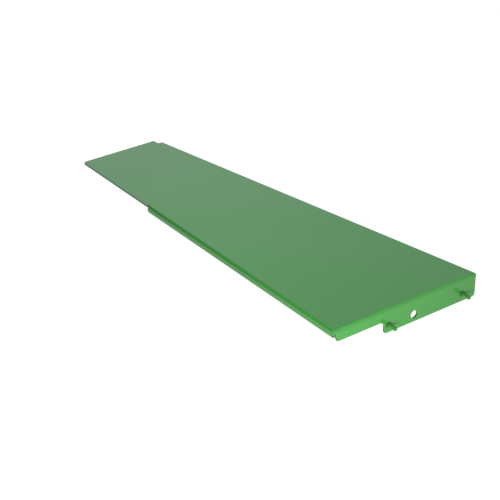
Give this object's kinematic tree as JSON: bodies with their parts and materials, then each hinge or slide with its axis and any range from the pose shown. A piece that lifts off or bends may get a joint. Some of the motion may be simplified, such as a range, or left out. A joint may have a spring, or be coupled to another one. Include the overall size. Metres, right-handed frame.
{
  "type": "straight slide plate",
  "caption": "Tapered slide plate of folded green sheet steel with side lips, a stepped end flange, a round hole and threaded weld studs.",
  "frame": {"origin": "centre of the bounding box on X and Y, with the lower edge of the end flange at Z = 0", "axes": "+X along the straight side, towards the end flange and its studs; +Y across the plate, towards the tapered side; +Z out of the deck's sliding face"},
  "size_m": [0.87, 0.35, 0.051],
  "materials": {
    "painted_sheet": "semi-gloss green enamel",
    "painted_stud": "green enamel over a rolled thread",
    "painted_weld": "green enamel over weld metal"
  },
  "bodies": {
    "root": {"slide_plate": "painted_sheet", "stud_straight_side": "painted_stud", "stud_tapered_side": "painted_stud", "weld_straight_side": "painted_weld", "weld_tapered_side": "painted_weld"}
  },
  "joints": []
}
